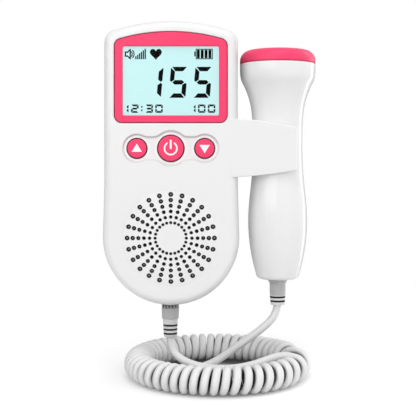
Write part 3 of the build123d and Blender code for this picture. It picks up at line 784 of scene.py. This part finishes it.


# ---- display ------------------------------------------------------------------------------------
# Dark sheets of painted shade fill the gaps round the bezel and the keys.
INK, BEZEL_SHADE, KEY_SHADE = (-28.42, -28.46), (-28.52, -29.1), (-28.2, -29.26)  # back and front
BEZEL_GAP, KEY_GAP = (0.34, 0.02), (0.52, 0.03)    # how far the edges of a sheet of painted shade are from what it rings
BEZEL_HALF, BEZEL_LOW, BEZEL_TOP, BEZEL_CORNER, BEZEL_ARCH = 26.9, 86.8, 130.15, 3.5, 88.0
ARCH_END_DEG = 4                      # the upper corners take up this lean of the arch's ends
LARGE = {"foot": 98.7, "width": 8.2, "height": 14.85, "stroke": 2.12, "slant": 0.09}
SMALL = {"foot": 91.5, "width": 3.6, "height": 4.0, "stroke": 0.86, "slant": 0.0}
LARGE_FIGURES = {-13.0: "1", -1.25: "5", 10.45: "5"}        # by the place of their left side
SMALL_FIGURES = {-23.9: "1", -19.1: "2", -12.2: "3", -7.5: "0", 8.25: "1", 13.0: "0", 17.7: "0"}
STROKE_GAP, STROKE_CLIP = 0.09, 0.16  # gap and clipped corner, as shares of a figure's stroke
DIGIT_SHAPES = {"0": "abcdef", "1": "bc", "2": "abged", "3": "abgcd", "5": "afgcd"}


def digit(figure, left, foot, width, height, stroke, slant):
    """A seven-stroke figure: mitred bars with fine gaps between them."""
    w, h, t, d = width, height, stroke, STROKE_GAP * stroke
    mid, clip = h / 2, STROKE_CLIP * stroke
    upright = [(0, h - 2 * clip), (clip / 2, h - clip - d), (t, h - t - d), (t, mid + t / 2 + d),
               (2 * clip, mid + d), (0, mid + 2 * clip + d)]
    shapes = {
        "a": [(clip + d, h), (w - clip - d, h), (w - t - d, h - t), (t + d, h - t)],
        "d": [(clip + d, 0), (w - clip - d, 0), (w - t - d, t), (t + d, t)],
        "f": upright,
        "b": [(w - x, z) for x, z in upright],
        "e": [(x, h - z) for x, z in upright],
        "c": [(w - x, h - z) for x, z in upright],
        "g": [(t / 2 + d, mid), (t + d, mid + t / 2), (w - t - d, mid + t / 2), (w - t / 2 - d, mid),
              (w - t - d, mid - t / 2), (t + d, mid - t / 2)]}
    return [[(left + x + slant * z, foot + z) for x, z in shapes[mark]]
            for mark in DIGIT_SHAPES[figure]]


def strokes(points, width):
    """A line of straight strokes, each a thin bar."""
    bars = []
    for start, end in zip(points, points[1:]):
        start, end = Vector(start), Vector(end)
        way = (end - start).normalized() * width / 2
        side = Vector((-way.y, way.x))
        bars.append([tuple(point) for point in (start - way + side, start - way - side,
                                                end + way - side, end + way + side)])
    return bars


def box(x0, z0, x1, z1):
    """An upright rectangle between two corners."""
    return [(x0, z0), (x1, z0), (x1, z1), (x0, z1)]


def arc(x, z, radius, start_deg, sweep_deg, steps):
    """Points of the front view along an arc, its two ends among them."""
    turns = [math.radians(start_deg + sweep_deg * k / steps) for k in range(steps + 1)]
    return [(x + radius * math.cos(turn), z + radius * math.sin(turn)) for turn in turns]


def sound_wave(x, z, radius, width=0.52, half_deg=50):
    """A curved bar of a loudspeaker's sign."""
    inner, outer = [arc(x, z, reach, -half_deg, 2 * half_deg, 8)
                    for reach in (radius, radius + width)]
    return inner + outer[::-1]


def heart(x, z, width, height):
    """A heart round a middle, from the usual curve of sines and cosines."""
    points = []
    for k in range(48):
        turn = math.tau * k / 48
        across = math.sin(turn) ** 3
        up = (13 * math.cos(turn) - 5 * math.cos(2 * turn) - 2 * math.cos(3 * turn)
              - math.cos(4 * turn) + 2.5) / 14.5
        points.append((x + across * width / 2, z + up * height / 2))
    return points


def loudspeaker_sign():
    """A loudspeaker, two sound waves and six bars that grow."""
    marks = strokes([(-21.8, 118.7), (-20.8, 118.7), (-19.5, 117.5), (-19.5, 121.8),
                     (-20.8, 120.6), (-21.8, 120.6), (-21.8, 118.7)], 0.62)
    marks += [sound_wave(-20.1, 119.65, reach) for reach in (1.3, 2.2)]
    for k in range(6):
        marks.append(box(-17.1 + 0.9 * k, 117.2, -16.48 + 0.9 * k, 118.6 + 0.72 * k))
    return marks


def battery_sign():
    """A lying cell with its pole on the left and four full bars."""
    marks = [box(11.2, 118.6, 11.8, 120.9)]
    marks += strokes([(12.1, 117.4), (19.9, 117.4), (19.9, 122.0), (12.1, 122.0), (12.1, 117.4)],
                     0.4)
    return marks + [box(12.45 + 1.85 * k, 117.7, 13.87 + 1.85 * k, 121.7) for k in range(4)]


def screen_marks():
    """Every dark mark of the liquid crystal panel: a pulse of 155 with its small signs."""
    marks = loudspeaker_sign() + battery_sign() + [heart(-7.2, 119.4, 5.7, 5.5)]
    marks += [box(-14.3, low, -13.6, low + 0.75) for low in (92.3, 94.0)]
    for figures, form in ((LARGE_FIGURES, LARGE), (SMALL_FIGURES, SMALL)):
        for left, figure in figures.items():
            marks += digit(figure, left, **form)
    return marks


def bezel_edge(grow):
    """The bezel's outline, grown all round: an arched top between four round corners."""
    half, low, top = BEZEL_HALF + grow, BEZEL_LOW - grow, BEZEL_TOP + grow
    corner = BEZEL_CORNER + grow
    inset = half - corner

    def arch(x):
        """Height of the arched top."""
        return top - x * x / (2 * BEZEL_ARCH)

    high, bend = arch(inset) - corner, 90 - ARCH_END_DEG
    points = arc(inset, low + corner, corner, -90, 90, 12)
    points += arc(inset, high, corner, ARCH_END_DEG, bend, 12)
    points += [(x, arch(x)) for x in (inset - 2 * inset * k / 24 for k in range(1, 24))]
    points += arc(-inset, high, corner, 90, bend, 12)
    return points + arc(-inset, low + corner, corner, 180, 90, 12)


def make_display():
    """Ink on the crystal panel, and dark sheets of painted shade in the gaps round the bezel and the
    keys.
    """
    settle(piece("screen_ink", *plates(screen_marks(), *INK), "ink"), "unit")
    seal = frame_plate(*[bezel_edge(gap) for gap in BEZEL_GAP], *BEZEL_SHADE)
    settle(piece("bezel_gap_shade", *seal, "seal"), "unit")
    for name, (x, radius) in KEYS.items():
        rings = [circle(radius + gap, 96, x, BUTTON_HEIGHT) for gap in KEY_GAP]
        shade_ring = piece(f"key_gap_shade_{name}", *frame_plate(*rings, *KEY_SHADE), "seal")
        settle(shade_ring, "unit")


# ---- the cord -----------------------------------------------------------------------------------
CORD_D = 3.85
RING_X, RING_R, COIL_R = 22.5, 39.3, 6.7           # the ring's middle, the ring, a turn's outside
RING_HEIGHT = (FLOOR - FOOT_LEVEL) / MM + COIL_R
COIL_TURNS, TURN_DEG = 45.75, 6.85
POINTS_A_TURN = 16
SLUMP, SLUMP_DEG = 2.6, 225           # how far the back turns sag inwards, at which phase
SHUT, OPEN = 3.6 * MM, 5.7 * MM       # reaches from the coil's core that count as closed and open
# Where round the ring the first turns pass low on the outside, a third of a turn after their start.
FIRST_TURNS_DEG = [23.3, 35.0, 42.9, 51.2, 58.9, 66.0, 73.0, 80.1, 86.5, 92.5, 98.9, 105.3, 111.4,
                   117.7, 123.9, 130.3, 137.5]
COIL_START_DEG, LOW_OUTSIDE = 19.0, 0.336

# Listed routes: millimetres across, in depth and in height.
UNIT_TAIL = [(-0.8, -15, -18.4), (-0.8, -15, -24.8), (5.0, -17.4, -29.6), (14.0, -22.5, -31.8),
             (26.5, -26.0, -32.2), (38.5, -26.0, -30.4), (48.0, -23.6, -27.4), (54.2, -24.4, -25.5)]
LAST_TURN_DEG = [(-15, 135), (-6, 90), (1, 45), (6.6, 0), (12, -45), (19.5, -90), (25.5, -130)]
LAST_TURN_CUT = 0.95                  # the curve stays this far inside the last turn's points
PROBE_TAIL = [(50.5, -30.0, -35.6), (43.0, -34.6, -35.6), (34.0, -37.2, -35.6),
              (24.5, -37.6, -35.6), (14.5, -35.2, -35.5), (5.5, -30.0, -35.6),
              (2.0, -21.5, -35.5), (7.0, -12.5, -35.6), (15.0, -7.5, -35.2), (23.0, -8.0, -31.4),
              (31.0, -10.5, -25.0), (39.5, -13.2, -18.6), (47.2, -14.9, -12.2),
              (51.4, -15, -7.2), (52.2, -15, -2.4)]


def turn_angle(turns):
    """Degrees round the ring after so many turns: loose at the start, crowded at the front."""
    marks = [(0.0, COIL_START_DEG)]
    marks += [(k + LOW_OUTSIDE, angle) for k, angle in enumerate(FIRST_TURNS_DEG)]
    for (low, start), (high, end) in zip(marks, marks[1:]):
        if turns <= high:
            return start + (end - start) * (turns - low) / (high - low)
    return marks[-1][1] + (turns - marks[-1][0]) * TURN_DEG


def on_coil(angle, phase, reach):
    """A point of the coil: phase 0 is outside, 90 on top, 180 inside and -90 on the floor."""
    turn, lift = math.radians(angle), math.radians(phase)
    behind = max(0.0, -math.sin(turn)) ** 2
    slump = SLUMP * behind * max(0.0, math.cos(lift - math.radians(SLUMP_DEG)))
    radius = RING_R + reach * math.cos(lift) - slump
    return (RING_X + radius * math.cos(turn), MID - radius * math.sin(turn),
            RING_HEIGHT + reach * math.sin(lift))


def cord_route():
    """Tail, curly ring and tail as one line of control points."""
    strand = COIL_R - CORD_D / 2
    reach = strand / math.cos(math.pi / POINTS_A_TURN)
    points = list(UNIT_TAIL)
    for step in range(int(COIL_TURNS * POINTS_A_TURN)):
        turns = step / POINTS_A_TURN
        points.append(on_coil(turn_angle(turns), 90 - 360 * turns, reach))
    points += [on_coil(turn, phase, strand / LAST_TURN_CUT) for turn, phase in LAST_TURN_DEG]
    return [place(*point) for point in points + PROBE_TAIL]


def route_mesh(name, points, radius=0.0):
    """A smooth round cord as a mesh, or with no radius its bare line."""
    curve = bpy.data.curves.new(name, "CURVE")
    curve.dimensions = "3D"
    curve.bevel_depth = radius
    curve.bevel_resolution = 4
    curve.use_fill_caps = radius > 0
    curve.resolution_u = 4
    spline = curve.splines.new("NURBS")
    spline.points.add(len(points) - 1)
    for knot, point in zip(spline.points, points):
        knot.co = (*point, 1)
    spline.order_u = 3
    spline.use_endpoint_u = True
    return bpy.data.meshes.new_from_object(bpy.data.objects.new(name, curve))


def mark_openness(tube):
    """Stores 1 on the open side of each turn and 0 on the side that faces the coil's core."""
    centre = place(RING_X, MID, RING_HEIGHT)
    values = []
    for vertex in tube.vertices:
        away = vertex.co - centre
        reach = math.hypot(math.hypot(away.x, away.y) - RING_R * MM, away.z)
        values.append(min(1.0, max(0.0, (reach - SHUT) / (OPEN - SHUT))))
    tube.attributes.new("openness", "FLOAT", "POINT").data.foreach_set("value", values)


def make_cord():
    """The cord as one tube, and the line that it follows."""
    points = cord_route()
    path = [tuple(vertex.co) for vertex in route_mesh("cord_line", points).vertices]
    tube = route_mesh("cord_tube", points, CORD_D / 2 * MM)
    tube.name = "curly_cord"
    tube.materials.clear()
    tube.materials.append(MATERIALS["cord_grey"])
    tube.polygons.foreach_set("use_smooth", [True] * len(tube.polygons))
    mark_openness(tube)
    cord = shown("curly_cord", tube)
    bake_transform(cord)
    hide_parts("cord_unit_tail", "cord_coil", "cord_probe_tail")


# ---- stage, in metres ---------------------------------------------------------------------------
WHITE = (1, 1, 1, 1)
LAMP_AIM = (0.018, -0.015, -0.03)
SIDE_FILL = 0.65                      # share by which light from the right is stronger
DARK_FROM, DARK_TO, DARKEST = 0.45, 0.95, 0.8       # the mirrored backdrop, by how far back it is
FLOOR_HALF, FLOOR_GREY, FLOOR_GLOW = 1.0, 0.80, 0.30
FADE_FROM, FADE_TO = 0.12, 0.34       # how far from the ring the floor begins and ends to vanish
# The painted shadow in the ring: a pale middle, a dark band round it and the open floor, by
# distance.
NOOK_WIDENING, NOOK_SHIFT = Vector((1.2, 1.0, 1.0)), Vector((0, 0.007, 0))
MIDDLE_FROM, MIDDLE_TO, MIDDLE_LEVEL = 0.008, 0.027, 0.62
BAND_FROM, BAND_TO, BAND_LEVEL = 0.038, 0.058, 0.08
CAMERA_SPOT, CAMERA_LENS, CAMERA_SHIFT = (0.0178, -0.460, -0.026), 77.88, -0.101


def studio_rays(tree):
    """1 where a ray comes from the camera, a mirror or a glass, so that these see the backdrop."""
    path = add(tree, "ShaderNodeLightPath")
    seen = maths(tree, "MAXIMUM", path.outputs["Is Camera Ray"], path.outputs["Is Glossy Ray"])
    return maths(tree, "MAXIMUM", seen, path.outputs["Is Transmission Ray"])


def make_world(light):
    """Even light, and a backdrop that is white to the camera and darker at the back in mirrors."""
    world = bpy.context.scene.world or bpy.data.worlds.new("studio")
    bpy.context.scene.world = world
    world.use_nodes = True
    tree = world.node_tree
    tree.nodes.clear()
    across, away, _ = axes(tree, add(tree, "ShaderNodeTexCoord").outputs["Generated"])
    strength = maths(tree, "MULTIPLY_ADD", across, SIDE_FILL * light.fill, light.fill)
    fill_light = add(tree, "ShaderNodeBackground", {"Color": WHITE, "Strength": strength})
    dark = ease(tree, away, low=DARK_FROM, high=DARK_TO, end=DARKEST)
    mirrored = add(tree, "ShaderNodeLightPath").outputs["Is Glossy Ray"]
    white = maths(tree, "SUBTRACT", 1.0, maths(tree, "MULTIPLY", dark, mirrored))
    backdrop = add(tree, "ShaderNodeBackground", {"Color": WHITE, "Strength": white})
    mix = add(tree, "ShaderNodeMixShader", {0: studio_rays(tree), 1: fill_light.outputs[0],
                                            2: backdrop.outputs[0]})
    add(tree, "ShaderNodeOutputWorld", {0: mix.outputs[0]})


def floor_material(centre):
    """Pale table with a painted shadow under the ring of cord, that vanishes into the white
    surroundings.
    """
    made, tree, shader = plain_material("pale_table")
    spot = object_spot(tree)
    widened = add(tree, "ShaderNodeVectorMath", {0: spot, 1: tuple(NOOK_WIDENING)},
                  operation="MULTIPLY").outputs[0]
    far = distance(tree, widened, centre * NOOK_WIDENING + NOOK_SHIFT)
    middle = ease(tree, far, low=MIDDLE_FROM, high=MIDDLE_TO, start=MIDDLE_LEVEL, end=0.0)
    band = ease(tree, far, low=BAND_FROM, high=BAND_TO, start=BAND_LEVEL)
    nook = maths(tree, "MAXIMUM", band, middle)
    fill(tree, shader, {"Roughness": 0.85,
                        "Base Color": grey(tree, maths(tree, "MULTIPLY", nook, FLOOR_GREY))})
    strength = maths(tree, "MULTIPLY", maths(tree, "MULTIPLY", studio_rays(tree), FLOOR_GLOW), nook)
    glow = add(tree, "ShaderNodeEmission", {"Color": WHITE, "Strength": strength})
    lit = add(tree, "ShaderNodeAddShader", {0: shader.outputs[0], 1: glow.outputs[0]})
    fade = ease(tree, distance(tree, spot, centre), low=FADE_FROM, high=FADE_TO)
    clear = add(tree, "ShaderNodeBsdfTransparent")
    mix = add(tree, "ShaderNodeMixShader", {0: fade, 1: lit.outputs[0], 2: clear.outputs[0]})
    fill(tree, tree.nodes["Material Output"], {0: mix.outputs[0]})
    return made


def make_floor():
    """A table top under the ring of cord."""
    centre = Vector((RING_X * MM, MID * MM, FLOOR))
    mesh = bpy.data.meshes.new("floor")
    mesh.from_pydata([centre + FLOOR_HALF * Vector((x, y, 0))
                      for x, y in ((-1, -1), (1, -1), (1, 1), (-1, 1))], [], [(0, 1, 2, 3)])
    mesh.materials.append(floor_material(centre))
    shown("floor", mesh)


def softbox(name, spot, width, height, power):
    """A rectangular lamp, aimed at the middle of the object."""
    lamp = bpy.data.lights.new(name, "AREA")
    lamp.shape = "RECTANGLE"
    lamp.size = width
    lamp.size_y = height
    lamp.energy = power
    made = shown(name, lamp)
    made.location = spot
    made.rotation_euler = (Vector(LAMP_AIM) - Vector(spot)).to_track_quat("-Z", "Y").to_euler()


def make_camera():
    """Level with the buttons, in front of the gap between the housing and the probe."""
    lens = bpy.data.cameras.new("camera")
    lens.sensor_width = 36.0
    lens.lens = CAMERA_LENS
    lens.clip_start = 0.01
    lens.shift_y = CAMERA_SHIFT
    camera = shown("camera", lens)
    camera.location = CAMERA_SPOT
    camera.rotation_euler = (math.radians(90), 0, 0)
    bpy.context.scene.camera = camera


def make_stage(light):
    """World, table, lamps and camera."""
    bpy.context.scene.view_settings.view_transform = "Standard"
    make_world(light)
    make_floor()
    softbox("overhead", (0.0, -0.42, 0.66), 0.5, 0.3, light.overhead)
    softbox("front_left", (-0.55, -0.9, 0.35), 1.1, 0.6, light.front)
    softbox("right_strip", (0.50, 0.28, 0.05), 0.12, 0.9, light.strip)
    make_camera()


# ---- add-on -------------------------------------------------------------------------------------
class DopplerFinish(bpy.types.PropertyGroup):
    """Colours of the plastics, the rubber and the screen"""
    white: bpy.props.FloatVectorProperty(
        name="White plastic", description="Colour of the housing and the probe", subtype="COLOR",
        size=3, default=(0.86, 0.86, 0.86), min=0, max=1)
    pink: bpy.props.FloatVectorProperty(
        name="Pink plastic", description="Colour of the bezel, the buttons and the probe's tip",
        subtype="COLOR", size=3, default=(0.955, 0.049, 0.16), min=0, max=1)
    cord: bpy.props.FloatVectorProperty(
        name="Cord jacket", description="Colour of the curly cord", subtype="COLOR", size=3,
        default=(0.845, 0.845, 0.845), min=0, max=1)
    relief: bpy.props.FloatVectorProperty(
        name="Strain reliefs", description="Colour of the rubber strain reliefs", subtype="COLOR",
        size=3, default=(0.49, 0.49, 0.49), min=0, max=1)
    ribs: bpy.props.FloatVectorProperty(
        name="Relief ribs", description="Colour of the ribs at the reliefs' lower ends",
        subtype="COLOR", size=3, default=(0.71, 0.71, 0.71), min=0, max=1)
    screen: bpy.props.FloatVectorProperty(
        name="Screen", description="Colour of the lit liquid crystal panel", subtype="COLOR",
        size=3, default=(0.58, 0.905, 0.91), min=0, max=1)


class DopplerLight(bpy.types.PropertyGroup):
    """Strengths of the fill light and the lamps"""
    fill: bpy.props.FloatProperty(
        name="Fill", description="Strength of the light from all round", default=0.66, min=0)
    overhead: bpy.props.FloatProperty(
        name="Overhead lamp", description="Power of the lamp above, in watts", default=1.55, min=0)
    front: bpy.props.FloatProperty(
        name="Front lamp", description="Power of the lamp at the front, in watts", default=4.0,
        min=0)
    strip: bpy.props.FloatProperty(
        name="Strip lamp", description="Power of the strip at the right, in watts", default=0.9,
        min=0)


class DOPPLER_OT_stage(bpy.types.Operator):
    """Lays the table, hangs the lamps and sets up the camera"""
    bl_idname = "doppler.stage"
    bl_label = "Stage"

    def execute(self, context):
        make_stage(context.scene.doppler_light)
        return {"FINISHED"}


class DOPPLER_OT_finishes(bpy.types.Operator):
    """Mixes the finishes and gives them to the parts that keep their moulded shape"""
    bl_idname = "doppler.finishes"
    bl_label = "Finishes"

    def execute(self, context):
        for make_group in GROUP_MAKERS:
            GROUPS[make_group.__name__] = make_group()
        MATERIALS.update(make_materials(context.scene.doppler_finish))
        for finish, names in DRESSED.items():
            dress(names, finish)
        return {"FINISHED"}


class DOPPLER_OT_cord(bpy.types.Operator):
    """Lays the curly cord from the monitor to the probe"""
    bl_idname = "doppler.cord"
    bl_label = "Curly Cord"

    def execute(self, context):
        make_cord()
        return {"FINISHED"}


class DOPPLER_OT_grille(bpy.types.Operator):
    """Drills the loudspeaker's grille"""
    bl_idname = "doppler.grille"
    bl_label = "Speaker Grille"

    def execute(self, context):
        make_grille()
        return {"FINISHED"}


class DOPPLER_OT_display(bpy.types.Operator):
    """Draws the marks of the display"""
    bl_idname = "doppler.display"
    bl_label = "Display"

    def execute(self, context):
        make_display()
        return {"FINISHED"}


class DOPPLER_PT_panel(bpy.types.Panel):
    """Lists the monitor's pieces"""
    bl_label = "Fetal Doppler Monitor"
    bl_idname = "DOPPLER_PT_panel"
    bl_space_type = "VIEW_3D"
    bl_region_type = "UI"
    bl_category = "Doppler"

    def draw(self, context):
        for operator in OPERATORS:
            self.layout.operator(operator.bl_idname)
        for settings in (context.scene.doppler_finish, context.scene.doppler_light):
            for name in settings.__annotations__:
                self.layout.prop(settings, name)


GROUPS = {}
MATERIALS = {}
GROUP_MAKERS = [moulded_skin, tone_drift, turn_shade, relief_bands, panel_shade_and_highlights, seam_level,
                side_shade, weave_mask, soft_shading, perforated_disc, grille_light_spots]
DRESSED = {
    "housing_white": ["front_housing"],
    "white_plastic": ["rear_housing", "battery_cover"],
    "probe_white": ["probe_front_shell", "probe_rear_shell"],
    "pink_plastic": ["display_bezel", "button_up", "button_power", "button_down"],
    "cap_pink": ["probe_cap"],
    "sign_white": ["sign_up", "sign_power", "sign_down"],
    "lens": ["display_lens"],
    "lcd": ["lcd_panel"],
    "backlight": ["backlight"],
    "board_green": ["main_board", "probe_board"],
    "switch_black": ["tact_switches", "headphone_socket"],
    "steel": ["battery_contacts", "housing_screws"],
    "paper_black": ["speaker_cone"],
    "cloth": ["dust_cloth"],
    "magnet": ["speaker_frame", "speaker_magnet"],
    "cell": ["aa_cells"],
    "unit_rubber": ["unit_strain_relief"],
    "probe_rubber": ["probe_strain_relief"],
    "crystal": ["probe_crystals"],
    "backing": ["crystal_backing"],
}
OPERATORS = [DOPPLER_OT_stage, DOPPLER_OT_finishes, DOPPLER_OT_grille, DOPPLER_OT_display,
             DOPPLER_OT_cord]
CLASSES = [DopplerFinish, DopplerLight, *OPERATORS, DOPPLER_PT_panel]


def register():
    """Makes the settings, the operators and the panel known to Blender."""
    for made in CLASSES:
        bpy.utils.register_class(made)
    bpy.types.Scene.doppler_finish = bpy.props.PointerProperty(type=DopplerFinish)
    bpy.types.Scene.doppler_light = bpy.props.PointerProperty(type=DopplerLight)


def unregister():
    """Takes them away again."""
    del bpy.types.Scene.doppler_finish
    del bpy.types.Scene.doppler_light
    for made in reversed(CLASSES):
        bpy.utils.unregister_class(made)


def main():
    """Builds the whole model."""
    register()
    bpy.ops.doppler.stage()
    bpy.ops.doppler.finishes()
    bpy.ops.doppler.grille()
    bpy.ops.doppler.display()
    bpy.ops.doppler.cord()


if __name__ == "__main__":
    main()
